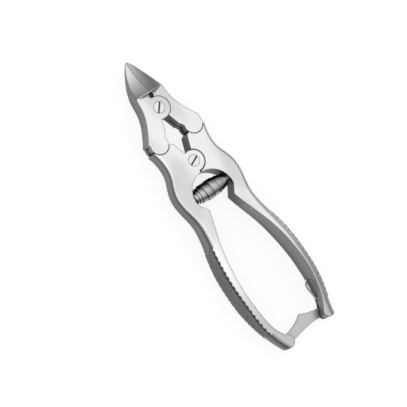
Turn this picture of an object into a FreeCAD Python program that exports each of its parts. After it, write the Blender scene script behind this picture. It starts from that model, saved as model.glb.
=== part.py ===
"""Double-action nail nipper: two jaws and two handles in a closed four-link chain, a barrel
spring between the handles and a swinging clasp across their ends. Millimetres, +Z up.

The nipper lies flat. The origin is on the table under the middle of its bounding box, +Y runs
to the tip of the jaws and +X to the right handle. Inside this file each piece is drawn about
the handle screw, with z = 0 in the middle of its thickness, and moved to the frame at the end."""

import FreeCAD, Part
import math
import os
from FreeCAD import Vector as V

# Links of the chain. All four are equally long, so each jaw turns exactly with the far handle.
PIVOT_SPACING = 31.0  # handle screw to jaw screw
LINK_HALF_SPAN = 10.65  # link pin to the middle plane

# Joint block
JOINT_THICKNESS = 9.5
LAP_GAP = 0.05  # between sliding faces of a lap
JAW_EYE_RADIUS = 5.8
JAW_EYE_GAP = 0.15
HANDLE_EYE_RADIUS = 5.5
HANDLE_EYE_GAP = 0.4
CHEEK_RADIUS = 4.8  # round rear end of a jaw
SOCKET_GAP = 0.25
TONGUE_THICKNESS = 3.2  # handle's tongue inside the fork of the jaw
TONGUE_RADIUS = 4.5
TONGUE_SIDE_GAP = 0.06
FORK_END_GAP = 0.3
FORK_RUNOUT_LENGTH = 7.0  # narrow end of the milled fork slot, on the jaw's inner wall
FORK_RUNOUT_WIDTH = 1.0
FORK_RUNOUT_DEPTH = 1.1

# Head of the jaws
TIP_REACH = 58.4  # handle screw to tip
RIDGE_REACH = 39.9  # handle screw to the ridge that ends the cutting hollow
RIDGE_HEIGHT = 1.35  # above the flat of the joint block
TIP_HEIGHT = 0.8  # above the middle plane
RIDGE_FOOT = 3.0  # length of the slope from the ridge down to the flat
CROWN_DEPTH = 14.0  # axis of the face's side-to-side crown, below the middle plane
BACK_FLAT_END = 39.0
EDGE_GAP = 0.03  # between the two cutting edges, closed
EDGE_LAND = 0.9  # thickness left at the cutting edge
BACK_RELIEF_WIDTH = 0.62  # share of the half width that the rear hollow takes
RELIEF_HOLE_RADIUS = 1.25
RELIEF_HOLE_Y = 38.0

# Screws and pins
SCREW_HEAD_RADIUS = 3.0
SCREW_HEAD_DEPTH = 1.8
SCREW_HEAD_PROUD = 0.12
SCREW_SHANK_RADIUS = 2.0
SCREW_SLOT_WIDTH = 0.85
SCREW_SLOT_DEPTH = 0.9
SCREW_FIT = 0.04  # radial play of a running fit
SCREW_END_INSET = 0.3
HEAD_FIT = 0.05
JAW_SLOT_ANGLE = 50.0
HANDLE_SLOT_ANGLE = 25.0
LINK_PIN_RADIUS = 1.6

# Handles
GRIP_THICKNESS = 14.0
GRIP_FLAT_FRONT = -57.0  # stretch of the grip with its full thickness
GRIP_FLAT_REAR = -71.0
SWELL_START = -13.0  # where the handle starts to grow thicker than the joint block
END_THICKNESS = 9.0
END_TAPER_Y = -91.0
RECESS_CENTRE_Y = -17.8
RECESS_RADIUS = 11.15
THROAT_CORNER = (7.95, -24.3)
THROAT_BREAK_Y = -19.6
FRONT_CORNER = (16.5, 13.2)
LEFT_END_ANGLE = 42.0  # where the inner side of the left handle meets its round end
LEFT_END_OUTER_ANGLE = -140.0
RIGHT_END_OUTER_ANGLE = -20.0
LEFT_END_BEND = (-11.0, -93.9)
RIGHT_END_ANGLE = 172.0
LEFT_END_RADIUS = 3.5
LEFT_END_CENTRE = (-10.8, -98.8)
RIGHT_END_RADIUS = 3.2
RIGHT_END_CENTRE = (16.6, -97.4)
FRONT_ROUND = 1.8  # rounding along the outer side, at the joint block
GRIP_ROUND = 3.7  # and along the grip, where it has grown to this
GRIP_LEAN = 1.2  # both grips stand this far to the right where they are widest
LEAN_START_Y = -15.0
PAD_FRONT_Y = -41.0  # knurled pad on the outer side of the grip
PAD_REAR_Y = -91.5
PAD_RISE = 0.35
PAD_SHARE = 0.93  # of the grip's thickness that the pad covers
KNURL_PITCH = 2.8  # along the grip
KNURL_DEPTH = 0.9
KNURL_ANGLE = math.radians(42)
KNURL_MARGIN = 3.0

# Barrel spring and its studs
SPRING_Y = -15.7
SPRING_RADIUS = 4.7  # middle of the strip on its widest turn
SPRING_STRIP_WIDTH = 5.6
SPRING_STRIP_THICKNESS = 0.32
SPRING_MIDDLE_PITCH = 5.9
SPRING_END_PITCH = 1.5
SPRING_WIDE_TURNS = 0.93  # on either side of the middle, before the turns close up
SPRING_LEVEL_TURNS = 0.15
SPRING_TURNS_PER_HALF = 2.6
SPRING_RADIAL_PITCH = 0.75
SEAT_RADIUS = 3.9
STUD_RADIUS = 2.2
STUD_PROUD = 3.2
STUD_DEPTH = 3.4

# Clasp
CLASP_PIVOT = (16.0, -96.5)
CLASP_LEVEL = -2.75  # middle of the clasp plate's thickness
CLASP_THICKNESS = 1.5
CLASP_SIDE_GAP = 0.15
CLASP_HUB_RADIUS = 2.5
CLASP_HUB_GAP = 0.2
CLASP_PIN_RADIUS = 1.1
CLASP_PIN_FIT = 0.05
CATCH_PIN_RADIUS = 0.9
CATCH_PIN = (-10.6, -97.9)
CATCH_CLEARANCE = 0.15
CATCH_HOOK_X = -13.3
CATCH_WALL_GAP = 0.5
CATCH_SLOT_DEPTH = 1.1  # of the hook's notch, behind the catch pin
CATCH_HOOK_WIDTH = 1.5  # of the hook, behind its notch
CATCH_SLOT_WALL_X = -13.6
CATCH_SLOT_FRONT_Y = -94.2
PIN_TOP_DEPTH = 2.2  # how far a clasp pin runs into the upper cheek
LEAF_WIDTH = 1.8
LEAF_TIP_Y = -79.4  # free end of the leaf, curled back to the wall
LEAF_MOUTH_Y = -89.0  # where the leaf dips into its pocket in the wall
LEAF_FOOT_Y = -90.4  # straight foot, held by the rivet
LEAF_END_Y = -93.0
LEAF_BOW = 2.2  # how far the leaf stands off the wall
LEAF_THICKNESS = 0.45
LEAF_WALL_GAP = 0.02
LEAF_SIDE_GAP = 0.1
POCKET_DEPTH = 1.1
RIVET_RADIUS = 0.5
RIVET_HEAD_RADIUS = 0.8
RIVET_HEAD_HEIGHT = 0.3
RIVET_DEPTH = 1.6

LINK_Y = PIVOT_SPACING / 2
HALF = JOINT_THICKNESS / 2
REAR_REACH = -(LEFT_END_CENTRE[1] - LEFT_END_RADIUS)
FRAME_SHIFT = V(-GRIP_LEAN, (REAR_REACH - TIP_REACH) / 2, GRIP_THICKNESS / 2)
TALL = 40.0  # taller than anything in the model

# Right-hand edges; the left-hand pieces mirror them.
JAW_OUTER = [(15.5, 18.2), (12.9, 22.4), (10.8, 26.2), (9.2, 30.2), (8.2, 34.5)]
HEAD_OUTER = [(7.8, 0.0), (7.2, 0.18), (5.9, 0.42), (4.1, 0.66), (2.05, 0.87)]  # x, share of the hollow
JAW_REAR_CORNER = (15.55, 17.7)
JAW_INNER = [(5.3, 18.3), (4.5, 18.9), (2.15, 25.5)]
HANDLE_OUTER = [FRONT_CORNER, (14.9, 6.5), (15.35, 0.0), (17.7, -6.0), (19.0, -11.5),
                (18.6, -18.0), (17.2, -26.5), (17.9, -35.0), (19.75, -44.0), (21.3, -53.0),
                (22.0, -64.0), (21.7, -76.0), (20.3, -87.0), (18.5, -94.0)]
HANDLE_INNER = [(9.7, -30.0), (13.3, -40.0), (16.0, -50.0), (17.6, -60.5), (18.05, -70.0),
                (17.3, -80.5), (15.3, -89.5)]
HANDLE_NECK = [(5.0, 12.75), (4.4, 12.1), (2.0, 5.3)]


def at(point, z=0.0):
    return V(point[0], point[1], z)


def mirrored(points):
    return [(-x, y) for x, y in points]


def jaw_outline():
    """Outer edge of a jaw from its rear corner to the tip."""
    length = TIP_REACH - RIDGE_REACH
    head = [(x, RIDGE_REACH + share * length) for x, share in HEAD_OUTER]
    return JAW_OUTER + head + [(EDGE_GAP / 2, TIP_REACH)]


def leaned(point, side):
    """A right-hand point of a handle as it stands on one side, with the grips' lean."""
    share = max(LEAN_START_Y - point[1], 0) / (LEAN_START_Y - (GRIP_FLAT_FRONT + GRIP_FLAT_REAR) / 2)
    return (side * point[0] + GRIP_LEAN * share, point[1])


def outer_curve(side):
    """Outer side of a handle, from its front corner to its round end."""
    wall = [leaned(p, side) for p in HANDLE_OUTER]
    if side > 0:
        return curve(wall + [on_circle(RIGHT_END_CENTRE, RIGHT_END_RADIUS, RIGHT_END_OUTER_ANGLE)])
    return curve(wall + [on_circle(LEFT_END_CENTRE, LEFT_END_RADIUS, LEFT_END_OUTER_ANGLE)])


def inner_curve(side):
    """Inner side of a handle, from the corner behind the spring's recess to its round end."""
    wall = [leaned(p, side) for p in [THROAT_CORNER] + HANDLE_INNER]
    if side > 0:
        return curve(wall + [on_circle(RIGHT_END_CENTRE, RIGHT_END_RADIUS, RIGHT_END_ANGLE)])
    return curve(wall + [LEFT_END_BEND, on_circle(LEFT_END_CENTRE, LEFT_END_RADIUS, LEFT_END_ANGLE)])


def curve(points, first=None, last=None):
    """A smooth curve through the points, with given end directions if any."""
    spline = Part.BSplineCurve()
    knots = [at(p) for p in points]
    if first is None:
        spline.interpolate(knots)
    else:
        spline.interpolate(Points=knots, InitialTangent=first, FinalTangent=last)
    return spline.toShape()


def line(a, b):
    return Part.LineSegment(at(a), at(b)).toShape()


def arc(a, middle, b):
    return Part.Arc(at(a), at(middle), at(b)).toShape()


def prism(edges, low, high):
    """The solid between two heights over a closed outline in the XY plane."""
    wire = Part.Wire(Part.__sortEdges__(edges))
    face = Part.Face(wire)
    face.translate(V(0, 0, low))
    return face.extrude(V(0, 0, high - low))


def box(x0, x1, y0, y1, z0, z1):
    return Part.makeBox(x1 - x0, y1 - y0, z1 - z0, V(x0, y0, z0))


def disc(centre, radius, low, high):
    return Part.makeCylinder(radius, high - low, V(centre[0], centre[1], low))


def polygon(points):
    return [line(a, b) for a, b in zip(points, points[1:] + points[:1])]


def on_circle(centre, radius, angle):
    a = math.radians(angle)
    return (centre[0] + radius * math.cos(a), centre[1] + radius * math.sin(a))


def one_solid(shape):
    """The single solid of a shape, with split faces of one surface joined."""
    shape = shape.removeSplitter()
    assert len(shape.Solids) == 1, len(shape.Solids)
    return shape.Solids[0]


# ---------------------------------------------------------------- head of the jaws

def ridge_height():
    return HALF + RIDGE_HEIGHT


def edge_height(y):
    """Height of the cutting edge: a quarter-ellipse hollow from the ridge down to the tip."""
    share = (y - RIDGE_REACH) / (TIP_REACH - RIDGE_REACH)
    share = min(max(share, 0.0), 1.0)
    return TIP_HEIGHT + (ridge_height() - TIP_HEIGHT) * (1 - share) ** 2.2


def face_profile():
    """The cutting hollow in side view, from the ridge's foot over the ridge to past the tip."""
    steps = [0.12, 0.28, 0.46, 0.66, 0.85]
    length = TIP_REACH - RIDGE_REACH
    crest = V(0, RIDGE_REACH, ridge_height())
    foot = V(0, RIDGE_REACH - RIDGE_FOOT, HALF)
    hollow = Part.BSplineCurve()
    hollow.interpolate([crest] + [V(0, RIDGE_REACH + length * s, edge_height(RIDGE_REACH + length * s))
                                  for s in steps] + [V(0, TIP_REACH, TIP_HEIGHT)])
    under = Part.BSplineCurve()
    under.interpolate(Points=[foot, V(0, RIDGE_REACH - RIDGE_FOOT * 0.45, HALF + RIDGE_HEIGHT * 0.26),
                              V(0, RIDGE_REACH - 0.35, ridge_height() - 0.25)],
                      InitialTangent=V(0, 1, 0), FinalTangent=V(0, 0.6, 0.8))
    nose = Part.LineSegment(V(0, RIDGE_REACH - 0.35, ridge_height() - 0.25), crest)
    beyond = V(0, TIP_REACH + 2, TIP_HEIGHT)
    low = -CROWN_DEPTH + 1
    path = [under, nose, hollow, Part.LineSegment(V(0, TIP_REACH, TIP_HEIGHT), beyond),
            Part.LineSegment(beyond, V(0, TIP_REACH + 2, low)),
            Part.LineSegment(V(0, TIP_REACH + 2, low), V(0, foot.y, low)),
            Part.LineSegment(V(0, foot.y, low), foot)]
    return Part.Face(Part.Wire(Part.__sortEdges__([p.toShape() for p in path])))


def head_top():
    """Everything below the upper surface of the jaws: the flat, the ridge and the crowned hollow."""
    crown = face_profile()
    crown = crown.revolve(V(0, 0, -CROWN_DEPTH), V(0, 1, 0), 50).fuse(
        crown.revolve(V(0, 0, -CROWN_DEPTH), V(0, 1, 0), -50))
    flat = box(-TALL, TALL, 0, RIDGE_REACH, -TALL, HALF)
    return crown.fuse(flat)


def head_back():
    """Everything above the rear surface of the jaws, which sweeps up to the tip."""
    level = -HALF
    sweep = Part.BSplineCurve()
    length = TIP_REACH - BACK_FLAT_END
    rise = TIP_HEIGHT - level
    points = [V(0, BACK_FLAT_END + length * s, level + rise * s ** 1.75) for s in (0, 0.25, 0.5, 0.75, 1)]
    sweep.interpolate(Points=points, InitialTangent=V(0, 1, 0), FinalTangent=V(0, 0.72, 0.7))
    start, end = V(0, 0, level), V(0, TIP_REACH, TIP_HEIGHT)
    path = [Part.LineSegment(start, points[0]), sweep,
            Part.LineSegment(end, V(0, TIP_REACH, TALL)),
            Part.LineSegment(V(0, TIP_REACH, TALL), V(0, 0, TALL)),
            Part.LineSegment(V(0, 0, TALL), start)]
    face = Part.Face(Part.Wire(Part.__sortEdges__([p.toShape() for p in path])))
    face.translate(V(-TALL, 0, 0))
    return face.extrude(V(2 * TALL, 0, 0))


def jaw_half_width(y):
    """Half width of the closed jaws at a place along them, from the outer edge's own points."""
    pairs = sorted((py, px) for px, py in jaw_outline())
    for (y0, x0), (y1, x1) in zip(pairs, pairs[1:]):
        if y0 <= y <= y1:
            return x0 + (x1 - x0) * (y - y0) / (y1 - y0)
    return 0.0


def rear_hollow():
    """The ground hollow behind the cutting edges of the right jaw."""
    wires = []
    for share in (0.0, 0.3, 0.6, 0.97):
        y = RIDGE_REACH - 0.6 + (TIP_REACH + 0.8 - RIDGE_REACH) * share
        top = edge_height(y) - EDGE_LAND
        wide = max(BACK_RELIEF_WIDTH * jaw_half_width(y), 0.25)
        deep = -HALF - 1.0
        corners = [V(-0.5, y, top), V(0.0, y, top), V(wide, y, deep), V(-0.5, y, deep)]
        wires.append(Part.makePolygon(corners + corners[:1]))
    return Part.makeLoft(wires, True, True)


def jaw_body(side):
    """Full-thickness plan of one jaw, before its eye, fork and cutting hollow. side is 1 or -1."""
    link = (LINK_HALF_SPAN, LINK_Y)
    rear_angle = math.degrees(math.asin((JAW_REAR_CORNER[1] - 0.5 - LINK_Y) / CHEEK_RADIUS))
    outer_seat = on_circle(link, CHEEK_RADIUS, rear_angle)
    inner_seat = on_circle(link, CHEEK_RADIUS, 164)
    bottom = on_circle(link, CHEEK_RADIUS, -90)
    gap = EDGE_GAP / 2
    outer = jaw_outline()
    pairs = [(JAW_REAR_CORNER, outer[0]), (outer_seat, JAW_REAR_CORNER),
             (inner_seat, JAW_INNER[0]), (JAW_INNER[0], JAW_INNER[1]),
             (JAW_INNER[1], JAW_INNER[2]), (JAW_INNER[2], (gap, PIVOT_SPACING)),
             ((gap, PIVOT_SPACING), (gap, TIP_REACH))]
    flip = (lambda p: p) if side > 0 else (lambda p: (-p[0], p[1]))
    edges = [curve([flip(p) for p in outer])]
    edges += [line(flip(a), flip(b)) for a, b in pairs]
    edges.append(arc(flip(outer_seat), flip(bottom), flip(inner_seat)))
    return prism(edges, -HALF, HALF + RIDGE_HEIGHT + 1)


def jaw(side):
    """One jaw. The left jaw (side -1) carries the upper eye and the screw's head, the right one
    the lower eye and the screw's thread."""
    upper = side < 0
    centre = (0, PIVOT_SPACING)
    link = (side * LINK_HALF_SPAN, LINK_Y)
    body = jaw_body(side).common(head_top()).common(head_back())
    hollow = rear_hollow()
    if side < 0:
        hollow = hollow.mirror(V(0, 0, 0), V(1, 0, 0))
    body = body.cut(hollow)
    near, far = LAP_GAP / 2, HALF
    own = (near, far) if upper else (-far, -near)
    other = (-far - 1, near) if upper else (-near, far + 1)
    body = body.cut(disc(centre, JAW_EYE_RADIUS + JAW_EYE_GAP, *other))
    body = body.fuse(disc(centre, JAW_EYE_RADIUS, *own))
    body = body.cut(disc((0, RELIEF_HOLE_Y), RELIEF_HOLE_RADIUS, -TALL, TALL))
    slot = TONGUE_THICKNESS / 2 + TONGUE_SIDE_GAP
    body = body.cut(disc(link, TONGUE_RADIUS + FORK_END_GAP, -slot, slot))
    body = body.cut(box(*sorted((0, side * TALL)), LINK_Y - CHEEK_RADIUS - 1, LINK_Y, -slot, slot))
    start, end = JAW_INNER[1], JAW_INNER[2]
    length = math.dist(start, end)
    along = ((end[0] - start[0]) / length, (end[1] - start[1]) / length)
    stop = (start[0] + along[0] * (FORK_RUNOUT_LENGTH - 2), start[1] + along[1] * (FORK_RUNOUT_LENGTH - 2))
    groove = [(start[0] - 1, start[1] - 2), (start[0] + FORK_RUNOUT_DEPTH + 1.2, start[1] - 2),
              (stop[0] + FORK_RUNOUT_DEPTH, stop[1]), (stop[0] - 1, stop[1])]
    if side < 0:
        groove = mirrored(groove)
    body = body.cut(prism(polygon(groove), -FORK_RUNOUT_WIDTH / 2, FORK_RUNOUT_WIDTH / 2))
    body = body.cut(disc(link, LINK_PIN_RADIUS, -TALL, TALL))
    if upper:
        body = body.cut(disc(centre, SCREW_SHANK_RADIUS + SCREW_FIT, -TALL, TALL))
        body = body.cut(disc(centre, SCREW_HEAD_RADIUS + HEAD_FIT, HALF - SCREW_HEAD_DEPTH, TALL))
    else:
        body = body.cut(disc(centre, SCREW_SHANK_RADIUS, -TALL, TALL))
    return one_solid(body)


# ---------------------------------------------------------------- handles

def thickness_profile(share_kept=1.0):
    """Everything within a share of the handle's thickness, which swells from the joint block to the grip."""
    block, grip, end = (share_kept * t / 2 for t in (JOINT_THICKNESS, GRIP_THICKNESS, END_THICKNESS))
    rear = -REAR_REACH - 1
    swell_length, taper_length = GRIP_FLAT_FRONT - SWELL_START, END_TAPER_Y - GRIP_FLAT_REAR
    rise = [V(0, SWELL_START + share * swell_length, block + growth * (grip - block))
            for share, growth in ((0, 0), (0.3, 0.13), (0.66, 0.58), (1, 1))]
    fall = [V(0, GRIP_FLAT_REAR + share * taper_length, end + growth * (grip - end))
            for share, growth in ((0, 1), (0.55, 0.6), (1, 0.1))]
    fall.append(V(0, rear, end - 0.3))
    swell, taper = Part.BSplineCurve(), Part.BSplineCurve()
    swell.interpolate(Points=rise, InitialTangent=V(0, -1, 0), FinalTangent=V(0, -1, 0))
    taper.interpolate(Points=fall, InitialTangent=V(0, -1, 0), FinalTangent=V(0, -1, -0.03))
    front = V(0, TALL, block)
    path = [Part.LineSegment(front, rise[0]), swell, Part.LineSegment(rise[-1], fall[0]), taper,
            Part.LineSegment(fall[-1], V(0, rear, 0)), Part.LineSegment(V(0, rear, 0), V(0, TALL, 0)),
            Part.LineSegment(V(0, TALL, 0), front)]
    face = Part.Face(Part.Wire(Part.__sortEdges__([p.toShape() for p in path])))
    face.translate(V(-TALL, 0, 0))
    upper = face.extrude(V(2 * TALL, 0, 0))
    return upper.fuse(upper.mirror(V(0, 0, 0), V(0, 0, 1))).removeSplitter()


def handle_plan(side):
    """Plan of one handle, without its eye and tongue. side is 1 for the right handle."""
    right = side > 0
    centre, radius = (RIGHT_END_CENTRE, RIGHT_END_RADIUS) if right else (LEFT_END_CENTRE, LEFT_END_RADIUS)
    end_outer = on_circle(centre, radius, RIGHT_END_OUTER_ANGLE if right else LEFT_END_OUTER_ANGLE)
    end_inner = on_circle(centre, radius, RIGHT_END_ANGLE if right else LEFT_END_ANGLE)
    end_bottom = on_circle(centre, radius, -90)
    link = (LINK_HALF_SPAN, LINK_Y)
    socket = CHEEK_RADIUS + SOCKET_GAP
    drop = math.asin((LINK_Y - FRONT_CORNER[1]) / socket)
    socket_outer = (link[0] + socket * math.cos(drop), FRONT_CORNER[1])
    socket_inner = (link[0] - socket * math.cos(drop), FRONT_CORNER[1])
    socket_bottom = on_circle(link, socket, -90)
    recess = (0, RECESS_CENTRE_Y)
    split = EDGE_GAP + 0.3
    recess_top = (split, RECESS_CENTRE_Y + math.sqrt(RECESS_RADIUS ** 2 - split ** 2))
    recess_middle = on_circle(recess, RECESS_RADIUS, 45)
    recess_climb = math.degrees(math.asin((THROAT_BREAK_Y - RECESS_CENTRE_Y) / RECESS_RADIUS))
    recess_end = on_circle(recess, RECESS_RADIUS, recess_climb)

    def flip(point):
        return leaned(point, side)

    edges = [outer_curve(side), arc(end_outer, end_bottom, end_inner), inner_curve(side)]
    pairs = [(HANDLE_OUTER[0], socket_outer), (socket_inner, HANDLE_NECK[0]),
             (HANDLE_NECK[0], HANDLE_NECK[1]), (HANDLE_NECK[1], HANDLE_NECK[2]),
             (HANDLE_NECK[2], (split, 0)), ((split, 0), recess_top), (recess_end, THROAT_CORNER)]
    edges += [line(flip(a), flip(b)) for a, b in pairs]
    edges.append(arc(flip(socket_outer), flip(socket_bottom), flip(socket_inner)))
    edges.append(arc(flip(recess_top), flip(recess_middle), flip(recess_end)))
    return prism(edges, -TALL / 2, TALL / 2)


def spring_seat(side):
    """Round seat bored along X in the recess wall, and the hole for the spring's stud."""
    wall = math.sqrt(RECESS_RADIUS ** 2 - (SPRING_Y - RECESS_CENTRE_Y) ** 2)
    centre = V(0, SPRING_Y, 0)
    along = V(side, 0, 0)
    seat = Part.makeCylinder(SEAT_RADIUS, wall, centre, along)
    return seat.fuse(Part.makeCylinder(STUD_RADIUS, wall + STUD_DEPTH, centre, along))


def spring_stud(side):
    """Short round stud pressed into the recess wall; the spring's end turn sits round it."""
    wall = math.sqrt(RECESS_RADIUS ** 2 - (SPRING_Y - RECESS_CENTRE_Y) ** 2)
    start = V(side * (wall + STUD_DEPTH), SPRING_Y, 0)
    stud = Part.makeCylinder(STUD_RADIUS, STUD_DEPTH + STUD_PROUD, start, V(-side, 0, 0))
    tip = [e for e in stud.Edges if abs(abs(e.CenterOfMass.x) - (wall - STUD_PROUD)) < 1e-3]
    return stud.makeFillet(0.5, tip)


def slot_for_clasp(side):
    """Space that the clasp plate needs in the end of a handle, open to the rear and inwards."""
    half = CLASP_THICKNESS / 2 + CLASP_SIDE_GAP
    low, high = CLASP_LEVEL - half, CLASP_LEVEL + half
    rear = -REAR_REACH - 1
    if side < 0:
        return box(CATCH_SLOT_WALL_X, 0, rear, CATCH_SLOT_FRONT_Y, low, high)
    x, y = CLASP_PIVOT
    radius = CLASP_HUB_RADIUS + CLASP_HUB_GAP
    slot = disc(CLASP_PIVOT, radius, low, high)
    slot = slot.fuse(box(0, x + radius, rear, y, low, high))
    return slot.fuse(box(0, x, y - 1, y + radius, low, high))


def pad(body, side):
    """The grip's outer band between the pad's two ends, standing out by the pad's rise."""
    band = body.copy()
    band.translate(V(side * PAD_RISE, 0, 0))
    x0, x1 = sorted((side * 12, side * TALL))
    band = band.common(box(x0, x1, PAD_REAR_Y, PAD_FRONT_Y, -TALL, TALL))
    return band.common(thickness_profile(PAD_SHARE))


def knurl_grooves(side):
    """Two crossing sets of slanting V grooves over the pad's outer side."""
    outer = outer_curve(side)
    grooves = []
    y = PAD_FRONT_Y - KNURL_MARGIN
    while y > PAD_REAR_Y + KNURL_MARGIN / 2:
        x, slope = outer_place(outer, y)
        along = V(slope, 1, 0).normalize()
        outward = V(along.y, -along.x, 0) * side
        for turn in (-1, 1):
            lean = along * math.cos(KNURL_ANGLE) + V(0, 0, turn * math.sin(KNURL_ANGLE))
            across = lean.cross(outward)
            crest = V(x + side * PAD_RISE, y, 0)
            root = crest - outward * KNURL_DEPTH
            rim = outward * KNURL_DEPTH
            spread = across * KNURL_DEPTH * 2
            corners = [root, root + rim * 2 + spread, root + rim * 2 - spread]
            reach = lean * (GRIP_THICKNESS * 0.85)
            face = Part.Face(Part.makePolygon([c - reach for c in corners + corners[:1]]))
            grooves.append(face.extrude(reach * 2))
        y -= KNURL_PITCH
    return grooves


def outer_place(edge, y):
    """x of the handle's outer edge at a place along it, and the edge's slope dx/dy there."""
    low, high = edge.ParameterRange
    for _ in range(40):
        middle = (low + high) / 2
        if edge.valueAt(middle).y > y:
            low = middle
        else:
            high = middle
    tangent = edge.tangentAt(low)
    return edge.valueAt(low).x, tangent.x / tangent.y


def handle(side):
    """One handle. The left handle (side -1) has the upper eye, the right one the lower eye."""
    right = side > 0
    link = (side * LINK_HALF_SPAN, LINK_Y)
    body = handle_plan(side).common(thickness_profile())
    body = rounded_outer(body, side)
    body = body.fuse(pad(body, side))
    body = body.cut(knurl_grooves(side))
    near, far = LAP_GAP / 2, HALF
    own = (-far, -near) if right else (near, far)
    other = (-near, TALL) if right else (-TALL, near)
    body = body.cut(disc((0, 0), HANDLE_EYE_RADIUS + HANDLE_EYE_GAP, *other))
    body = body.fuse(disc((0, 0), HANDLE_EYE_RADIUS, *own))
    half = TONGUE_THICKNESS / 2
    neck = [(6.6, 12.2), (15.0, 12.2), (14.2, 15.5), (7.2, 15.5)]
    neck = neck if right else mirrored(neck)
    tongue = disc(link, TONGUE_RADIUS, -half, half).fuse(prism(polygon(neck), -half, half))
    body = body.fuse(tongue)
    body = body.cut(disc(link, LINK_PIN_RADIUS + SCREW_FIT, -TALL, TALL))
    if right:
        body = body.cut(disc((0, 0), SCREW_SHANK_RADIUS, -TALL, TALL))
        body = body.cut(clasp_pin())
        body = body.cut(leaf_pocket())
        body = body.cut(leaf_rivet())
    else:
        body = body.cut(disc((0, 0), SCREW_SHANK_RADIUS + SCREW_FIT, -TALL, TALL))
        body = body.cut(disc((0, 0), SCREW_HEAD_RADIUS + HEAD_FIT, HALF - SCREW_HEAD_DEPTH, TALL))
        body = body.cut(catch_pin())
    body = body.cut(spring_seat(side))
    body = body.cut(slot_for_clasp(side))
    return one_solid(body)


def rounded_outer(body, side):
    """Rounds the two long edges on the outer side, more and more towards the grip."""
    outer = outer_curve(side)
    picked = []
    for edge in body.Edges:
        middle = edge.valueAt(sum(edge.ParameterRange) / 2)
        ends = [v.Point for v in edge.Vertexes]
        level = abs(middle.z) > 1 and abs(ends[0].z) > 1
        lengthwise = abs(ends[0].y - ends[-1].y) > 3
        behind = middle.y < SWELL_START - 1
        near = outer.distToShape(Part.Vertex(middle.x, middle.y, 0))[0] < 0.05
        if level and lengthwise and behind and near:
            picked.append(edge)
    return body.makeFillet(FRONT_ROUND, GRIP_ROUND, picked)


# ---------------------------------------------------------------- screws and pins

def slotted_screw(centre, slot_angle):
    """Screw with a flush slotted head on top and a shank that threads into the lower eye."""
    top = HALF + SCREW_HEAD_PROUD
    head_foot = HALF - SCREW_HEAD_DEPTH
    head = disc(centre, SCREW_HEAD_RADIUS, head_foot, top)
    rim = [e for e in head.Edges if abs(e.CenterOfMass.z - top) < 1e-3]
    screw = head.makeChamfer(0.2, rim)
    screw = screw.fuse(disc(centre, SCREW_SHANK_RADIUS, -HALF + SCREW_END_INSET, head_foot))
    half = SCREW_SLOT_WIDTH / 2
    slot = box(-TALL, TALL, -half, half, top - SCREW_SLOT_DEPTH, TALL)
    slot.rotate(V(0, 0, 0), V(0, 0, 1), slot_angle)
    slot.translate(at(centre))
    return one_solid(screw.cut(slot))


def link_pin(side):
    """Pin pressed through both cheeks of a jaw's fork and ground flush."""
    return disc((side * LINK_HALF_SPAN, LINK_Y), LINK_PIN_RADIUS, -HALF, HALF)


def clasp_pin():
    return disc(CLASP_PIVOT, CLASP_PIN_RADIUS, -END_THICKNESS / 2 + 0.4, CLASP_LEVEL + PIN_TOP_DEPTH)


def catch_pin():
    return disc(CATCH_PIN, CATCH_PIN_RADIUS, -END_THICKNESS / 2 + 0.4, CLASP_LEVEL + PIN_TOP_DEPTH)


# ---------------------------------------------------------------- barrel spring

def spring_place(turn):
    """Distance along X and middle radius of the strip, turns counted from the spring's middle."""
    wide = min(abs(turn), SPRING_WIDE_TURNS)
    rest = abs(turn) - wide
    x = wide * SPRING_MIDDLE_PITCH + rest * SPRING_END_PITCH
    radius = SPRING_RADIUS - SPRING_RADIAL_PITCH * max(abs(turn) - SPRING_LEVEL_TURNS, 0)
    return math.copysign(x, turn), radius


def helix(shift, grow):
    """One corner of the strip, as a smooth curve round the spring's axis."""
    steps = int(2 * SPRING_TURNS_PER_HALF * 14)
    points = []
    for k in range(steps + 1):
        turn = -SPRING_TURNS_PER_HALF + 2 * SPRING_TURNS_PER_HALF * k / steps
        x, radius = spring_place(turn)
        angle = math.tau * (turn + 0.75)
        radius += grow
        points.append(V(x + shift, SPRING_Y + radius * math.cos(angle), radius * math.sin(angle)))
    spline = Part.BSplineCurve()
    spline.interpolate(points)
    return spline.toShape()


def barrel_spring():
    """Flat steel strip wound as two cones with their wide ends together."""
    half, thick = SPRING_STRIP_WIDTH / 2, SPRING_STRIP_THICKNESS / 2
    corners = [helix(-half, -thick), helix(half, -thick), helix(half, thick), helix(-half, thick)]
    faces = [Part.makeRuledSurface(a, b) for a, b in zip(corners, corners[1:] + corners[:1])]
    for end in (0, -1):
        ring = [c.Vertexes[end].Point for c in corners]
        faces.append(Part.Face(Part.makePolygon(ring + ring[:1])))
    shell = Part.makeShell(faces)
    shell.sewShape()
    solid = Part.makeSolid(shell)
    if solid.Volume < 0:
        solid.reverse()
    return solid


# ---------------------------------------------------------------- clasp

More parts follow.
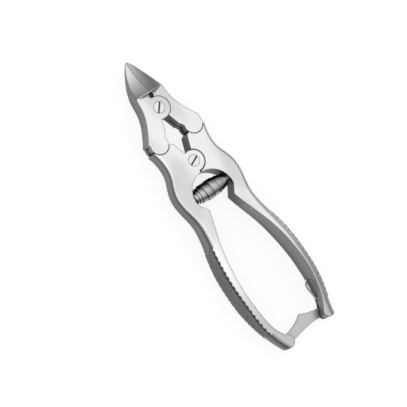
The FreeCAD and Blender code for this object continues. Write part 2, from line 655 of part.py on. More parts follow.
def clasp():
    """Flat plate that swings on the right handle's end and hooks the left handle's catch pin."""
    cx, cy = CATCH_PIN
    hook_top = cy - CATCH_PIN_RADIUS - CATCH_CLEARANCE
    floor = hook_top - CATCH_SLOT_DEPTH
    rear = floor - CATCH_HOOK_WIDTH
    wall = cx - CATCH_PIN_RADIUS - CATCH_WALL_GAP
    shoulder = cx + CATCH_PIN_RADIUS + CATCH_WALL_GAP
    front = [(shoulder + 0.25, hook_top), (-7.0, -95.9), (-3.8, -95.05), (-1.2, -94.2), (1.4, -93.1),
             (4.1, -91.3)]
    neck = [(4.8, -91.25), (6.0, -91.8), (8.8, -92.8), (12.2, -93.6)]
    back = [(13.4, -98.7), (9.4, -98.1), (5.6, -98.35), (1.5, -98.95), (-2.6, -99.75), (-5.6, -100.4),
            (-8.3, rear)]
    hub_top = on_circle(CLASP_PIVOT, CLASP_HUB_RADIUS, 95)
    hub_bottom = on_circle(CLASP_PIVOT, CLASP_HUB_RADIUS, -95)
    hub_far = on_circle(CLASP_PIVOT, CLASP_HUB_RADIUS, 0)
    hook = [front[0], (shoulder, hook_top - 0.4), (shoulder, floor), (wall, floor), (wall, hook_top),
            (CATCH_HOOK_X + 0.35, hook_top), (CATCH_HOOK_X, hook_top - 0.7), (CATCH_HOOK_X + 0.5, rear + 0.9),
            (CATCH_HOOK_X + 1.6, rear), back[-1]]
    edges = [curve(front), arc(front[-1], (4.45, -91.12), neck[0]), curve(neck), line(neck[-1], hub_top),
             arc(hub_top, hub_far, hub_bottom), line(hub_bottom, back[0]), curve(back)]
    edges += [line(a, b) for a, b in zip(hook, hook[1:])]
    half = CLASP_THICKNESS / 2
    plate = prism(edges, CLASP_LEVEL - half, CLASP_LEVEL + half)
    plate = plate.cut(disc(CLASP_PIVOT, CLASP_PIN_RADIUS + CLASP_PIN_FIT, -TALL, TALL))
    return one_solid(plate)


def inner_wall(y, lift=0.0):
    """Place on the right handle's inner wall, or the given distance off it."""
    x, slope = outer_place(inner_curve(1), y)
    along = V(slope, 1, 0).normalize()
    return V(x, y, 0) + V(-along.y, along.x, 0) * lift


def pocket_floor(y, lift=0.0):
    """Place on the flat floor of the leaf's pocket, or the given distance off it."""
    front, rear = inner_wall(LEAF_MOUTH_Y, -POCKET_DEPTH), inner_wall(LEAF_END_Y, -POCKET_DEPTH)
    along = (rear - front).normalize()
    share = (y - LEAF_MOUTH_Y) / (LEAF_END_Y - LEAF_MOUTH_Y)
    return front + (rear - front) * share + V(along.y, -along.x, 0) * lift


def leaf_pocket():
    """Slot in the right handle's inner wall that takes the foot of the leaf."""
    half = LEAF_WIDTH / 2 + LEAF_SIDE_GAP
    front, rear = pocket_floor(LEAF_MOUTH_Y), pocket_floor(LEAF_END_Y - 1)
    mouth = [inner_wall(LEAF_END_Y - 1, 3), inner_wall(LEAF_MOUTH_Y, 3)]
    corners = [(p.x, p.y) for p in [front, rear] + mouth]
    return prism(polygon(corners), CLASP_LEVEL - half, CLASP_LEVEL + half)


def clasp_leaf_spring():
    """Bowed strip riveted in a pocket of the right handle's inner wall; it bears on the clasp's side."""
    bow_length = LEAF_MOUTH_Y - LEAF_TIP_Y
    shares = [(0, 0.16), (0.07, 0.56), (0.2, 0.9), (0.36, 1), (0.56, 0.82), (0.78, 0.46)]
    outline, rims = [], []
    for offset in (0, LEAF_THICKNESS):
        rim = [inner_wall(LEAF_TIP_Y + share * bow_length, height * LEAF_BOW + offset)
               for share, height in shares]
        rim.append(inner_wall(LEAF_MOUTH_Y - 0.2, 0.1 + offset))
        rim.append(pocket_floor(LEAF_FOOT_Y, LEAF_WALL_GAP + offset))
        bow = Part.BSplineCurve()
        bow.interpolate(rim)
        end = pocket_floor(LEAF_END_Y, LEAF_WALL_GAP + offset)
        outline += [bow.toShape(), Part.makeLine(rim[-1], end)]
        rims.append((rim[0], end))
    outline += [Part.makeLine(a, b) for a, b in zip(*rims)]
    leaf = prism(outline, CLASP_LEVEL - LEAF_WIDTH / 2, CLASP_LEVEL + LEAF_WIDTH / 2)
    return one_solid(leaf.cut(leaf_rivet()))


def leaf_rivet():
    """Rivet through the foot of the leaf, driven into the floor of the pocket."""
    y = (LEAF_FOOT_Y + LEAF_END_Y) / 2
    foot = pocket_floor(y)
    into = (pocket_floor(y, -1.0) - foot).normalize()
    foot.z = CLASP_LEVEL
    under_head = foot - into * (LEAF_WALL_GAP + LEAF_THICKNESS)
    shank = Part.makeCylinder(RIVET_RADIUS, LEAF_WALL_GAP + LEAF_THICKNESS + RIVET_DEPTH, under_head, into)
    head_base = under_head - into * RIVET_HEAD_HEIGHT
    head = Part.makeCylinder(RIVET_HEAD_RADIUS, RIVET_HEAD_HEIGHT, head_base, into)
    return shank.fuse(head).removeSplitter()


def pieces():
    """Every node by name, drawn about the handle screw."""
    shapes = {
        "left_jaw": jaw(-1),
        "right_jaw": jaw(1),
        "left_handle": handle(-1),
        "right_handle": handle(1),
        "jaw_screw": slotted_screw((0, PIVOT_SPACING), JAW_SLOT_ANGLE),
        "handle_screw": slotted_screw((0, 0), HANDLE_SLOT_ANGLE),
        "barrel_spring": barrel_spring(),
        "clasp": clasp(),
        "clasp_pin": clasp_pin(),
        "catch_pin": catch_pin(),
        "clasp_leaf_spring": clasp_leaf_spring(),
        "leaf_rivet": leaf_rivet(),
    }
    for name, side in (("left", -1), ("right", 1)):
        shapes[f"{name}_link_pin"] = link_pin(side)
        shapes[f"{name}_spring_stud"] = spring_stud(side)
    return shapes


def main():
    os.makedirs("parts", exist_ok=True)
    for name, shape in pieces().items():
        shape.translate(FRAME_SHIFT)
        shape.exportStep(f"parts/{name}.step")


if __name__ == "__main__":
    main()
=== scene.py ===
"""Dresses a double-action nail nipper: satin steel on the jaws and handles, knurled grips painted dark
for the shade in their teeth, a wound barrel spring between the handles, and a pale table under soft
light. Metres, +Z up, +Y to the tip of the jaws."""

import math

import bmesh
import bpy
from mathutils import Matrix, Vector


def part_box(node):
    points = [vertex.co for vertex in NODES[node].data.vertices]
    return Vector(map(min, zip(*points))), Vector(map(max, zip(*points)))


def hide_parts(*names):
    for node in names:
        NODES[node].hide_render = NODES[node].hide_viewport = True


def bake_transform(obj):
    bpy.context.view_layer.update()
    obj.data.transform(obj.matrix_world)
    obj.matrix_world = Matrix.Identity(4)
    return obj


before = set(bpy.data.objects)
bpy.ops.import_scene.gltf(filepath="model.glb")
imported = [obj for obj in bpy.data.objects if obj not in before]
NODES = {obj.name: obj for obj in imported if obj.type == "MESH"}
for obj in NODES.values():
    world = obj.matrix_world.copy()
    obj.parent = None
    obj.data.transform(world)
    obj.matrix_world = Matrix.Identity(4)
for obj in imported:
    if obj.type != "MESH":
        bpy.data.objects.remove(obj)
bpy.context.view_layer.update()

STUD_BOXES = (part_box("left_spring_stud"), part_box("right_spring_stud"))
SPRING_CENTRE = sum((left + right for left, right in zip(*STUD_BOXES)), Vector()) / 4

bl_info = {
    "name": "Nail nipper",
    "version": (1, 0, 0),
    "blender": (4, 5, 0),
    "location": "3D View > Sidebar > Nipper",
    "description": "Dresses a double-action nail nipper and sets up its table, light and camera",
    "category": "Object",
}

# Places and reaches, in mm
PAD_ENDS = (-69.6, -19.0)  # along Y, rear and front end of each knurled pad
RIDGE_Y = 61.85  # along Y, the ridge behind the cutting hollow
GRIP_FINISH = (-25.0, -68.0)  # along Y, where the grips' finish starts to dull and where it is dull
KNURL_PITCH = 2.8  # along Y, between the teeth of the knurl's border
RECESS_SHADE_REACH = (13, 22)  # from the spring, over which the painted shade on the recess's milled wall ends
EDGE_BREAK = 0.7  # how far from an edge its softening shows
FITTING_BREAK = 0.2  # the same on pins and studs
FLUSH_MARGIN = 0.8  # round a ground-in pin or screw that stays flat
SLOT_FADE = (0.6, 0.05)  # below a screw's face, from the painted shade down in its slot to the faced steel
STEEL_SHADE = 14  # how near other surfaces darken the steel
CLASP_SHADE = 2  # the same on the clasp
STRIP_SHADE = 1.0  # and on spring strip

# How far a surface faces a way, from 0 for sideways on to 1 for straight at it
LEVEL_FACING = (0.55, 0.9)  # up or down, from a wall's painted shade to a level face
STRIP_FACING = (0.35, 0.98)  # up or down, from the painted shade on the strip's sides to its top tone
RIM_FACING = (0.05, 0.2)  # outward, where the rounding beside the knurl begins
RIM_LEVEL = (0.2, 0.4)  # up or down, over which that rounding takes on the level faces' tone in place of the walls' painted shade
RIM_TOP = 0.1  # up, from where a rim lies on the upper side
RIM_LIFT = 1.2  # how much of straight up is added to the way the left rim's sheen faces
KNURL_FACING = 0.7  # outward, where the knurl ends in the notches of its scalloped border
KNURL_SCALLOP = 0.16  # how much farther the border's teeth reach
KNURL_FADE = 0.08  # over which the border blurs

# Finish, with tones as shares of a material's own colour
WALL_STREAKS = (0.35, 22)  # mm, spacing and length of the brushed streaks
WALL_TONES = (0.8, 1.2)  # darkest and palest
FACE_CLOUDS = (17, 24)  # mm, spacing and length of the level faces' soft unevenness
FACE_CONTRAST = (0.35, 0.65)  # of the pattern's own 0 to 1, over which it goes from one tone to the other
FACE_TONES = (0.84, 1.08)
POLISH_CLOUDS = (1.2, 1.2)  # mm, the same on pins and studs
POLISH_TONES = (0.92, 1.06)
RECESS_PAINTED_SHADE = 0.35  # of the walls' colour, as painted shade on the milled wall round the spring
SHADE_OPENNESS = (0.3, 0.9)  # how open the surroundings are where shade is darkest, and where it ends
DARK_SHADE = "1C1C1C"
STRIP_DARK_SHADE = "606060"
# painted shade down in a screw's slot
SLOT_PAINTED_SHADE = "505050"
STREAK_ROUGHNESS = 0.12  # how much the roughness differs between streaks
FITTING_ROUGHNESS = 0.3
CLASP_ROUGHNESS = 0.32
STRIP_ROUGHNESS = 0.24
EDGE_SAMPLES = 6
SHADE_SAMPLES = 8

# The wound strip
SPRING_TURNS = 4.3  # on either side of the middle
WIDE_TURNS = 0.93  # of these, from the middle, with the wide pitch
LEVEL_TURNS = 0.15  # of these, before the cone starts to close
SPRING_PHASE = math.radians(-12)
STEPS_PER_TURN = 48
STRIP_ROUNDING = 0.3  # of the strip's thickness
CREASE = math.radians(35)

# The stage, in metres unless a line says otherwise
FLOOR_HALF = 3.0
FLOOR_DIFFUSE = 0.24  # share of the floor's white that takes shadows
FLOOR_GLOW = 0.83  # strength of the even white of its own
SKY_STRENGTH = (0.7, 1.0)  # as light on things, and where it is seen
DOME_RADIUS = 0.9
DOME_SEAM = (-0.4, 0.2)  # in radii along X, over which the left side's glow turns into the right's
DOME_RIGHT = ((0.0, "5C5C5C"), (0.3, "646464"), (0.6, "B4B4B4"), (0.8, "D2D2D2"), (0.9, "FFFFFF"))
DOME_LEFT = ((0.0, "404040"), (0.25, "484848"), (0.5, "A8A8A8"), (0.8, "D2D2D2"), (0.9, "FFFFFF"))
KEY_PLACE = (-0.5, 0.3, 1.2)
KEY_SIZE = 0.8
KEY_WATTS = 2.5
AIM = (-9.47, 1.9, 11.6)  # mm, the point that the camera looks at
SENSOR_WIDTH = 36  # mm
CLIP_START = 0.01
CLIP_END = 20
MIX_SOCKETS = {"VECTOR": (4, 5, 1), "RGBA": (6, 7, 2)}  # a mix node's two inputs and its output


# ---------------------------------------------------------------- colours and nodes

def linear(hex_colour):
    """An sRGB hex colour as the linear colour that Blender works in."""
    parts = [int(hex_colour[k:k + 2], 16) / 255 for k in (0, 2, 4)]
    return tuple(c / 12.92 if c <= 0.04045 else ((c + 0.055) / 1.055) ** 2.4 for c in parts)


def rgba(colour):
    return (*colour[:3], 1.0)


def toned(colour, share):
    """A share of a colour, for a socket."""
    return rgba([min(c * share, 1) for c in colour])


def mm(value):
    return value / 1000


def add_node(tree, kind, sockets=None, **options):
    """Adds a node with its own options, and with a value or a link for each socket named."""
    node = tree.nodes.new(kind)
    for name, value in options.items():
        setattr(node, name, value)
    for name, value in (sockets or {}).items():
        if isinstance(value, bpy.types.NodeSocket):
            tree.links.new(value, node.inputs[name])
        else:
            node.inputs[name].default_value = value
    return node


def new_material(name):
    """An empty node material with its output, as (material, tree, output)."""
    material = bpy.data.materials.new(name)
    material.use_nodes = True
    tree = material.node_tree
    tree.nodes.clear()
    return material, tree, add_node(tree, "ShaderNodeOutputMaterial")


def object_place(tree):
    return add_node(tree, "ShaderNodeTexCoord").outputs["Object"]


def split(tree, vector):
    """X, Y and Z of a vector."""
    return add_node(tree, "ShaderNodeSeparateXYZ", {0: vector}).outputs


def math_node(tree, operation, *values):
    return add_node(tree, "ShaderNodeMath", dict(enumerate(values)), operation=operation).outputs[0]


def vector_node(tree, operation, *values):
    return add_node(tree, "ShaderNodeVectorMath", dict(enumerate(values)), operation=operation).outputs


def stepped(tree, value, low, high):
    """0 below low, 1 above high and smooth between."""
    sockets = {"Value": value, "From Min": low, "From Max": high}
    node = add_node(tree, "ShaderNodeMapRange", sockets, interpolation_type="SMOOTHSTEP")
    return node.outputs["Result"]


def mixed(tree, factor, first, second, kind="RGBA"):
    """The first at 0 and the second at 1, as a colour, or as a vector where kind says so."""
    a, b, result = MIX_SOCKETS[kind]
    node = add_node(tree, "ShaderNodeMix", {0: factor, a: first, b: second}, data_type=kind)
    return node.outputs[result]


def brushed(tree, spacing_mm, streak_mm, detail=2.0):
    """Fine streaks along Y, from 0 to 1, a real spacing apart."""
    scale = (1000 / spacing_mm, 1000 / streak_mm, 1000 / spacing_mm)
    stretched = add_node(tree, "ShaderNodeMapping", {"Vector": object_place(tree), "Scale": scale})
    sockets = {"Vector": stretched.outputs[0], "Scale": 1.0, "Detail": detail}
    return add_node(tree, "ShaderNodeTexNoise", sockets).outputs["Fac"]


def uneven(tree, pattern, colour, tones):
    """A colour that goes between two shares of itself, as a pattern from 0 to 1 says."""
    return mixed(tree, pattern, toned(colour, tones[0]), toned(colour, tones[1]))


def distance_seen_from_above(tree, x, y):
    """How far a point lies from an upright line at x and y."""
    level = vector_node(tree, "MULTIPLY", object_place(tree), (1, 1, 0))[0]
    return vector_node(tree, "DISTANCE", level, (x, y, 0))["Value"]


def soft_edges(tree, reach_mm):
    """Normal that rounds every edge a little."""
    sockets = {"Radius": mm(reach_mm)}
    return add_node(tree, "ShaderNodeBevel", sockets, samples=EDGE_SAMPLES).outputs["Normal"]


def soft_normal(tree, flush):
    """Soft edges, except round the nodes that are ground in flush."""
    soft = soft_edges(tree, EDGE_BREAK)
    for name in flush:
        low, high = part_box(name)
        far = distance_seen_from_above(tree, (low.x + high.x) / 2, (low.y + high.y) / 2)
        outside = math_node(tree, "GREATER_THAN", far, (high.x - low.x) / 2 + mm(FLUSH_MARGIN))
        plain = add_node(tree, "ShaderNodeNewGeometry").outputs["Normal"]
        soft = mixed(tree, outside, plain, soft, "VECTOR")
    return soft


def grip_masks(tree, soft, steep):
    """Three things about a grip, from its soft normal and how far it faces up or down: how far the
    rounding beside the knurl counts as level, how far a surface is the knurled outer side, and the
    soft normal with the sheen of the left grip's upper rounding turned up."""
    facing = split(tree, soft)
    x, y, _ = split(tree, object_place(tree))
    away = math_node(tree, "MULTIPLY", facing["X"], math_node(tree, "SIGN", x))
    behind = math_node(tree, "LESS_THAN", y, mm(PAD_ENDS[1]))
    before = math_node(tree, "GREATER_THAN", y, mm(PAD_ENDS[0]))
    beside = math_node(tree, "MULTIPLY", behind, before)
    rim = math_node(tree, "MULTIPLY", beside, stepped(tree, away, *RIM_FACING))
    rim_level = math_node(tree, "MULTIPLY", rim, stepped(tree, steep, *RIM_LEVEL))
    teeth = math_node(tree, "PINGPONG", y, mm(KNURL_PITCH / 2))
    reach = math_node(tree, "MULTIPLY_ADD", teeth, -KNURL_SCALLOP / mm(KNURL_PITCH / 2), KNURL_FACING)
    outward = stepped(tree, away, math_node(tree, "SUBTRACT", reach, KNURL_FADE), reach)
    pad = math_node(tree, "MULTIPLY", outward, beside)
    lifted = vector_node(tree, "NORMALIZE", vector_node(tree, "ADD", soft, (0, 0, RIM_LIFT))[0])[0]
    over = math_node(tree, "MULTIPLY", rim, math_node(tree, "GREATER_THAN", facing["Z"], RIM_TOP))
    left = math_node(tree, "MULTIPLY", over, math_node(tree, "LESS_THAN", x, 0))
    on_rim = math_node(tree, "MULTIPLY", left, math_node(tree, "SUBTRACT", 1, pad))
    return rim_level, pad, mixed(tree, on_rim, soft, lifted, "VECTOR")


def shaded(tree, colour, reach_mm, darkest=DARK_SHADE):
    """A colour that darkens where other surfaces stand close by."""
    sockets = {"Distance": mm(reach_mm)}
    near = add_node(tree, "ShaderNodeAmbientOcclusion", sockets, samples=SHADE_SAMPLES).outputs["AO"]
    return mixed(tree, stepped(tree, near, *SHADE_OPENNESS), rgba(linear(darkest)), colour)


def finish_metal(tree, output, colour, roughness, **sockets):
    """Ends a material's nodes in bare metal."""
    sockets = {"Base Color": colour, "Metallic": 1.0, "Roughness": roughness, **sockets}
    shader = add_node(tree, "ShaderNodeBsdfPrincipled", sockets)
    tree.links.new(shader.outputs[0], output.inputs["Surface"])


def satin_steel(name, top, side, roughness, knurl=None, duller=None, hollow=None, flush=(),
                reach_mm=STEEL_SHADE):
    """Stainless steel, blasted and lightly brushed: flat faces pale and even, side walls with painted
    shade and fine lengthwise streaks, and painted shade where other surfaces stand close by. A knurled
    grip also has its knurl painted dark for the shade in its teeth, painted shade on the wall of the
    spring's recess and a duller rear, and a jaw has its ground cutting hollow in a tone of its own that
    stands in for the light on that jaw's side."""
    material, tree, output = new_material(name)
    soft = soft_normal(tree, flush)
    steep = math_node(tree, "ABSOLUTE", split(tree, soft)["Z"])
    level = stepped(tree, steep, *LEVEL_FACING)
    streak = brushed(tree, *WALL_STREAKS)
    wall = uneven(tree, streak, side, WALL_TONES)
    cloud = stepped(tree, brushed(tree, *FACE_CLOUDS, detail=1.0), *FACE_CONTRAST)
    flat = uneven(tree, cloud, top, FACE_TONES)
    along = split(tree, object_place(tree))["Y"]
    if duller is not None:
        backward = math_node(tree, "MULTIPLY", along, -1)
        rear = stepped(tree, backward, mm(-GRIP_FINISH[0]), mm(-GRIP_FINISH[1]))
        flat = mixed(tree, rear, flat, rgba(duller))
    # The jaw's ground hollow in a tone of its own: painted light on the left jaw, painted shade on the
    # right
    if hollow is not None:
        flat = mixed(tree, math_node(tree, "GREATER_THAN", along, mm(RIDGE_Y)), flat, rgba(hollow))
    if knurl is not None:
        rim_level, pad, soft = grip_masks(tree, soft, steep)
        level = math_node(tree, "MAXIMUM", level, rim_level)
        # Painted shade on the wall of the spring's recess, fading out away from the spring
        far = distance_seen_from_above(tree, SPRING_CENTRE.x, SPRING_CENTRE.y)
        outside_recess_shade = stepped(tree, far, mm(RECESS_SHADE_REACH[0]), mm(RECESS_SHADE_REACH[1]))
        wall = mixed(tree, outside_recess_shade, toned(side, RECESS_PAINTED_SHADE), wall)
    # Walls take painted shade against the level faces, by how far they face up, and all of it darkens as
    # painted shade near other surfaces
    colour = shaded(tree, mixed(tree, level, wall, flat), reach_mm)
    # The knurled outer side painted dark, standing in for the shade between its teeth
    if knurl is not None:
        colour = mixed(tree, pad, colour, rgba(knurl))
    rough = math_node(tree, "MULTIPLY_ADD", streak, STREAK_ROUGHNESS, roughness - STREAK_ROUGHNESS / 2)
    finish_metal(tree, output, colour, rough, Normal=soft)
    return material


def plain_steel(name, colour, roughness):
    """Steel with one colour and finish all over and a trace of uneven polish."""
    material, tree, output = new_material(name)
    shade = uneven(tree, brushed(tree, *POLISH_CLOUDS), colour, POLISH_TONES)
    finish_metal(tree, output, shade, roughness, Normal=soft_edges(tree, FITTING_BREAK))
    return material


def polished_strip(name, upper, turned_down_shade):
    """Polished spring strip, pale on top, with painted shade as it turns down and where other surfaces
    stand close by.
    """
    material, tree, output = new_material(name)
    normal = add_node(tree, "ShaderNodeNewGeometry").outputs["Normal"]
    steep = math_node(tree, "ABSOLUTE", split(tree, normal)["Z"])
    # Painted shade on the strip's sides, by how far they turn from facing up
    colour = mixed(tree, stepped(tree, steep, *STRIP_FACING), rgba(turned_down_shade), rgba(upper))
    finish_metal(tree, output, shaded(tree, colour, STRIP_SHADE, STRIP_DARK_SHADE), STRIP_ROUGHNESS)
    return material


def slotted_steel(name, colour, roughness):
    """Faced steel of a screw head, with painted shade down in its slot."""
    material, tree, output = new_material(name)
    height = split(tree, object_place(tree))["Z"]
    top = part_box("jaw_screw")[1].z
    # Painted shade down in the slot, fading up to the faced steel
    face = stepped(tree, height, top - mm(SLOT_FADE[0]), top - mm(SLOT_FADE[1]))
    finish_metal(tree, output, mixed(tree, face, rgba(linear(SLOT_PAINTED_SHADE)), rgba(colour)), roughness)
    return material


def dress(material, *names):
    """Gives CAD nodes one material all over."""
    for name in names:
        mesh = NODES[name].data
        mesh.materials.clear()
        mesh.materials.append(material)


def keep_mesh(work, name):
    """Makes a scene object from a finished bmesh."""
    mesh = bpy.data.meshes.new(name)
    work.to_mesh(mesh)
    work.free()
    obj = bpy.data.objects.new(name, mesh)
    bpy.context.scene.collection.objects.link(obj)
    return obj


# ---------------------------------------------------------------- settings

def colour_property(name, description, hex_colour):
    return bpy.props.FloatVectorProperty(
        name=name, description=description, subtype="COLOR", size=3, min=0, max=1,
        default=linear(hex_colour))


def length_property(name, description, default_mm):
    return bpy.props.FloatProperty(
        name=name, description=description, subtype="DISTANCE", unit="LENGTH", precision=5,
        default=mm(default_mm))


def angle_property(name, description, degrees):
    return bpy.props.FloatProperty(
        name=name, description=description, subtype="ANGLE", unit="ROTATION",
        default=math.radians(degrees))


class NipperSteel(bpy.types.PropertyGroup):
    flat_colour: colour_property("Flat faces", "Satin steel of the faces that lie level", "F3F3F2")
    # Painted shade: the upright walls are painted darker than the level faces for how light falls on
    # them; their streaks are brushing
    wall_painted_shade: colour_property("Side walls", "Brushed steel of the upright walls", "757575")
    grip_colour: colour_property("Grip ends", "Duller satin steel on top of the grips' rear", "CFCFCF")
    # Painted light and shade: the left jaw's hollow is painted lighter and the right's darker, for the
    # light falling on their two sides
    left_hollow_painted_light: colour_property("Left hollow", "Ground hollow of the left jaw", "E6E6E6")
    right_hollow_painted_shade: colour_property("Right hollow", "Ground hollow of the right jaw", "D0D0D0")
    # Painted shade: the knurl is painted dark, standing in for the shade between its teeth
    knurl_painted_shade: colour_property("Knurled grip", "Cut teeth on the outer side of each grip", "7C7C7C")
    fitting_colour: colour_property("Screws and pins", "Turned steel of the small fittings", "F2F2F2")
    clasp_colour: colour_property("Clasp", "Rolled sheet of the clasp", "C6C6C6")
    roughness: bpy.props.FloatProperty(
        name="Satin roughness", description="Roughness of the satin finish", subtype="FACTOR",
        min=0, max=1, default=0.34)


class NipperSpring(bpy.types.PropertyGroup):
    strip_width: length_property("Strip width", "Width of the wound strip", 3.9)
    strip_thickness: length_property("Strip thickness", "Thickness of the wound strip", 0.32)
    middle_radius: length_property("Middle radius", "Strip's middle line on the widest turns", 4.7)
    wide_pitch: length_property("Wide pitch", "Step of the widest turns along the spring", 4.1)
    end_pitch: length_property("End pitch", "Step of the closed end turns", 1.5)
    nest: length_property("Nesting", "How much smaller each further turn is", 0.5)
    colour: colour_property("Spring steel", "Polished strip where it faces up", "C8C8C8")
    # Painted shade: the strip's sides are painted darker than its top for how light falls on them
    strip_side_painted_shade: colour_property("Strip sides", "Polished strip where it turns down", "9A9A9A")


class NipperStage(bpy.types.PropertyGroup):
    floor_colour: colour_property("Floor", "Pale table top", "FFFFFF")
    camera_distance: length_property("Camera distance", "From the lens to the tool", 1415)
    field_width: length_property("Field", "Width that the picture spans at the tool", 198.15)
    tilt: angle_property("Tilt", "How far the view leans to the tool's left side", 22.36)
    turn: angle_property("Turn", "How far the tool's axis is turned in the picture", 56.64)


# ---------------------------------------------------------------- pieces

class NIPPER_OT_jaws(bpy.types.Operator):
    """Satin finish of the two jaws and of the link pins ground flush in them"""
    bl_idname = "nipper.jaws"
    bl_label = "Jaws"

    def execute(self, context):
        steel = context.scene.nipper_steel
        # The left jaw's hollow takes painted light, the right's painted shade
        for side, hollow in (("left", steel.left_hollow_painted_light), ("right", steel.right_hollow_painted_shade)):
            finish = satin_steel(f"stainless_steel_satin_{side}_jaw", steel.flat_colour,
                                 steel.wall_painted_shade, steel.roughness, hollow=hollow,
                                 flush=("left_link_pin", "right_link_pin", "jaw_screw"))
            dress(finish, f"{side}_jaw", f"{side}_link_pin")
        return {"FINISHED"}


class NIPPER_OT_handles(bpy.types.Operator):
    """Satin finish of the two handles, with the knurled grips painted darker for the shade in their teeth
    """
    bl_idname = "nipper.handles"
    bl_label = "Handles"

    def execute(self, context):
        steel = context.scene.nipper_steel
        finish = satin_steel("stainless_steel_satin_handles", steel.flat_colour, steel.wall_painted_shade,
                             steel.roughness, steel.knurl_painted_shade, steel.grip_colour,
                             flush=("handle_screw",))
        dress(finish, "left_handle", "right_handle")
        return {"FINISHED"}


class NIPPER_OT_fittings(bpy.types.Operator):
    """Slotted screws, the clasp's two pins and the spring's studs"""
    bl_idname = "nipper.fittings"
    bl_label = "Screws and pins"

    def execute(self, context):
        steel = context.scene.nipper_steel
        faced = slotted_steel("stainless_steel_faced", steel.fitting_colour, FITTING_ROUGHNESS)
        dress(faced, "jaw_screw", "handle_screw")
        turned = plain_steel("stainless_steel_turned", steel.fitting_colour, FITTING_ROUGHNESS)
        dress(turned, "left_spring_stud", "right_spring_stud", "clasp_pin", "catch_pin")
        return {"FINISHED"}


class NIPPER_OT_clasp(bpy.types.Operator):
    """Rolled sheet of the clasp, and polished strip of its leaf spring and rivet"""
    bl_idname = "nipper.clasp"
    bl_label = "Clasp and leaf spring"

    def execute(self, context):
        steel = context.scene.nipper_steel
        sheet = satin_steel("stainless_steel_rolled_sheet", steel.clasp_colour, steel.wall_painted_shade,
                            CLASP_ROUGHNESS, reach_mm=CLASP_SHADE)
        dress(sheet, "clasp")
        spring = context.scene.nipper_spring
        leaf = polished_strip("spring_steel_polished_leaf", spring.colour, spring.strip_side_painted_shade)
        dress(leaf, "clasp_leaf_spring", "leaf_rivet")
        return {"FINISHED"}


def spring_matrix(spring, turn):
    """Place of the strip's section at a number of turns from the spring's middle."""
    wide = min(abs(turn), WIDE_TURNS)
    x = wide * spring.wide_pitch + (abs(turn) - wide) * spring.end_pitch
    radius = spring.middle_radius - spring.nest * max(abs(turn) - LEVEL_TURNS, 0)
    along = Matrix.Translation(SPRING_CENTRE + Vector((math.copysign(x, turn), 0, 0)))
    angle = math.tau * (turn + 0.5) + SPRING_PHASE
    return along @ Matrix.Rotation(angle, 4, "X") @ Matrix.Translation((0, 0, radius))


class NIPPER_OT_barrel_spring(bpy.types.Operator):
    """Flat strip wound as two cones, drawn out along the spring's axis"""
    bl_idname = "nipper.barrel_spring"
    bl_label = "Barrel spring"

    def execute(self, context):
        spring = context.scene.nipper_spring
        work = bmesh.new()
        bmesh.ops.create_grid(work, x_segments=1, y_segments=1, size=0.5)
        bmesh.ops.rotate(work, verts=work.verts, matrix=Matrix.Rotation(math.radians(90), 3, "X"))
        bmesh.ops.scale(work, verts=work.verts, vec=(spring.strip_width, 1, spring.strip_thickness))
        bmesh.ops.bevel(work, geom=work.verts[:], offset=spring.strip_thickness * STRIP_ROUNDING,
                        segments=2, profile=0.5, affect="VERTICES", material=-1)
        steps = round(2 * SPRING_TURNS * STEPS_PER_TURN)
        turns = [-SPRING_TURNS + 2 * SPRING_TURNS * k / steps for k in range(steps + 1)]
        bmesh.ops.transform(work, matrix=spring_matrix(spring, turns[0]), verts=work.verts)
        cap = work.faces[:]
        for before, after in zip(turns, turns[1:]):
            grown = bmesh.ops.extrude_face_region(work, geom=cap)["geom"]
            move = spring_matrix(spring, after) @ spring_matrix(spring, before).inverted()
            cap = [item for item in grown if isinstance(item, bmesh.types.BMFace)]
            corners = [item for item in grown if isinstance(item, bmesh.types.BMVert)]
            bmesh.ops.transform(work, matrix=move, verts=corners)
        bmesh.ops.recalc_face_normals(work, faces=work.faces)
        for face in work.faces:
            face.smooth = len(face.verts) == 4
        for edge in work.edges:
            edge.smooth = edge.calc_face_angle(math.pi) < CREASE
        obj = keep_mesh(work, "wound_barrel_spring")
        strip = polished_strip("spring_steel_polished_strip", spring.colour, spring.strip_side_painted_shade)
        obj.data.materials.append(strip)
        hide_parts("barrel_spring")
        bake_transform(obj)
        return {"FINISHED"}


# ---------------------------------------------------------------- stage

def seen_directly(tree):
    """1 for camera, glossy and transmission rays, so that metal shows the pale surroundings too."""
    path = add_node(tree, "ShaderNodeLightPath")
    seen = math_node(tree, "MAXIMUM", path.outputs["Is Camera Ray"], path.outputs["Is Glossy Ray"])
    return math_node(tree, "MAXIMUM", seen, path.outputs["Is Transmission Ray"])


def floor_material(colour):
    """Matt white table: mostly an even white of its own, with enough diffuse to keep a shadow."""
    material, tree, output = new_material("matt_white_table")
    diffuse = add_node(tree, "ShaderNodeBsdfDiffuse", {"Color": toned(colour, FLOOR_DIFFUSE)})
    strength = math_node(tree, "MULTIPLY", seen_directly(tree), FLOOR_GLOW)
    glow = add_node(tree, "ShaderNodeEmission", {"Color": rgba(colour), "Strength": strength})
    both = add_node(tree, "ShaderNodeAddShader", {0: diffuse.outputs[0], 1: glow.outputs[0]})
    tree.links.new(both.outputs[0], output.inputs["Surface"])
    return material


def studio_world(scene):
    """White where it is seen, and a soft even light on everything else."""
    world = bpy.data.worlds.new("soft_studio")
    scene.world = world
    world.use_nodes = True
    tree = world.node_tree
    tree.nodes.clear()
    output = add_node(tree, "ShaderNodeOutputWorld")
    lighting, seen = SKY_STRENGTH
    sockets = {"Value": seen_directly(tree), "To Min": lighting, "To Max": seen}
    strength = add_node(tree, "ShaderNodeMapRange", sockets).outputs["Result"]
    sky = add_node(tree, "ShaderNodeBackground", {"Color": (1, 1, 1, 1), "Strength": strength})
    tree.links.new(sky.outputs[0], output.inputs["Surface"])


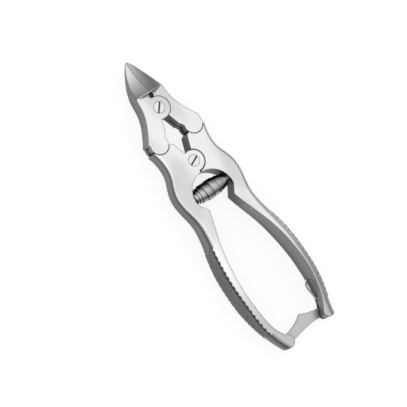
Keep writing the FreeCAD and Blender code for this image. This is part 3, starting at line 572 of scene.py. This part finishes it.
def ramp(tree, value, stops):
    """Greys between stops given as (place, hex colour)."""
    node = add_node(tree, "ShaderNodeValToRGB", {"Fac": value})
    elements = node.color_ramp.elements
    while len(elements) < len(stops):
        elements.new(0.5)
    for element, (place, hex_colour) in zip(elements, stops):
        element.position = place
        element.color = rgba(linear(hex_colour))
    return node.outputs["Color"]


def studio_dome():
    """A glowing dome round the table, seen only in reflections, that stands in for lit surroundings: dark
    low down, pale overhead, and darker on the left, so that edges on that side show as a dark line."""
    work = bmesh.new()
    bmesh.ops.create_uvsphere(work, u_segments=64, v_segments=48, radius=DOME_RADIUS)
    bmesh.ops.bisect_plane(work, geom=work.verts[:] + work.edges[:] + work.faces[:], dist=1e-6,
                           plane_co=(0, 0, 0), plane_no=(0, 0, 1), clear_inner=True)
    dome = keep_mesh(work, "studio_dome")
    material, tree, output = new_material("glowing_graded_dome")
    place = split(tree, object_place(tree))
    rise = math_node(tree, "DIVIDE", place["Z"], DOME_RADIUS)
    side = stepped(tree, math_node(tree, "DIVIDE", place["X"], DOME_RADIUS), *DOME_SEAM)
    grey = mixed(tree, side, ramp(tree, rise, DOME_LEFT), ramp(tree, rise, DOME_RIGHT))
    dome_glow = add_node(tree, "ShaderNodeEmission", {"Color": grey})
    tree.links.new(dome_glow.outputs[0], output.inputs["Surface"])
    dome.data.materials.append(material)
    for kind in ("camera", "diffuse", "transmission", "shadow", "volume_scatter"):
        setattr(dome, "visible_" + kind, False)
    return dome


def lamp(name, place, size, watts):
    """A square soft lamp that faces the middle of the tool."""
    data = bpy.data.lights.new(name, "AREA")
    data.size = size
    data.energy = watts
    obj = bpy.data.objects.new(name, data)
    bpy.context.scene.collection.objects.link(obj)
    obj.location = place
    obj.rotation_euler = (-Vector(place)).to_track_quat("-Z", "Y").to_euler()
    return obj


def place_camera(scene, stage):
    """Camera over the tool's left side, with the tip of the jaws to the upper left."""
    c, s = math.cos(stage.tilt), math.sin(stage.tilt)
    back = Vector((-s, 0, c))
    across = Vector((c, 0, s))
    right = math.sin(stage.turn) * across - math.cos(stage.turn) * Vector((0, 1, 0))
    up = math.cos(stage.turn) * across + math.sin(stage.turn) * Vector((0, 1, 0))
    data = bpy.data.cameras.new("camera")
    data.sensor_width = SENSOR_WIDTH
    data.lens = SENSOR_WIDTH * stage.camera_distance / stage.field_width
    data.clip_start = CLIP_START
    data.clip_end = CLIP_END
    camera = bpy.data.objects.new("camera", data)
    scene.collection.objects.link(camera)
    turned = Matrix((right, up, back)).transposed().to_4x4()
    aim = Vector([mm(part) for part in AIM])
    camera.matrix_world = Matrix.Translation(aim + back * stage.camera_distance) @ turned
    scene.camera = camera


class NIPPER_OT_stage(bpy.types.Operator):
    """Pale table, soft light and the camera"""
    bl_idname = "nipper.stage"
    bl_label = "Stage"

    def execute(self, context):
        scene = context.scene
        settings = scene.nipper_stage
        work = bmesh.new()
        bmesh.ops.create_grid(work, x_segments=1, y_segments=1, size=FLOOR_HALF)
        floor = keep_mesh(work, "floor")
        floor.data.materials.append(floor_material(settings.floor_colour))
        dome = studio_dome()
        key = lamp("soft_key", KEY_PLACE, KEY_SIZE, KEY_WATTS)
        studio_world(scene)
        place_camera(scene, settings)
        scene.view_settings.view_transform = "Standard"
        return {"FINISHED"}


class NIPPER_PT_panel(bpy.types.Panel):
    """Lists the nipper's pieces and settings"""
    bl_idname = "NIPPER_PT_panel"
    bl_label = "Nail nipper"
    bl_space_type = "VIEW_3D"
    bl_region_type = "UI"
    bl_category = "Nipper"

    def draw(self, context):
        for group in ("nipper_steel", "nipper_spring", "nipper_stage"):
            settings = getattr(context.scene, group)
            for name in settings.__annotations__:
                self.layout.prop(settings, name)
        for operator in OPERATORS:
            self.layout.operator(operator.bl_idname)


OPERATORS = (NIPPER_OT_jaws, NIPPER_OT_handles, NIPPER_OT_fittings, NIPPER_OT_clasp,
             NIPPER_OT_barrel_spring, NIPPER_OT_stage)
GROUPS = {"nipper_steel": NipperSteel, "nipper_spring": NipperSpring, "nipper_stage": NipperStage}


def register():
    for item in (*GROUPS.values(), *OPERATORS, NIPPER_PT_panel):
        bpy.utils.register_class(item)
    for name, group in GROUPS.items():
        setattr(bpy.types.Scene, name, bpy.props.PointerProperty(type=group))


def unregister():
    for name in GROUPS:
        delattr(bpy.types.Scene, name)
    for item in (NIPPER_PT_panel, *reversed(OPERATORS), *GROUPS.values()):
        bpy.utils.unregister_class(item)


def main():
    register()
    bpy.ops.nipper.jaws()
    bpy.ops.nipper.handles()
    bpy.ops.nipper.fittings()
    bpy.ops.nipper.clasp()
    bpy.ops.nipper.barrel_spring()
    bpy.ops.nipper.stage()


if __name__ == "__main__":
    main()
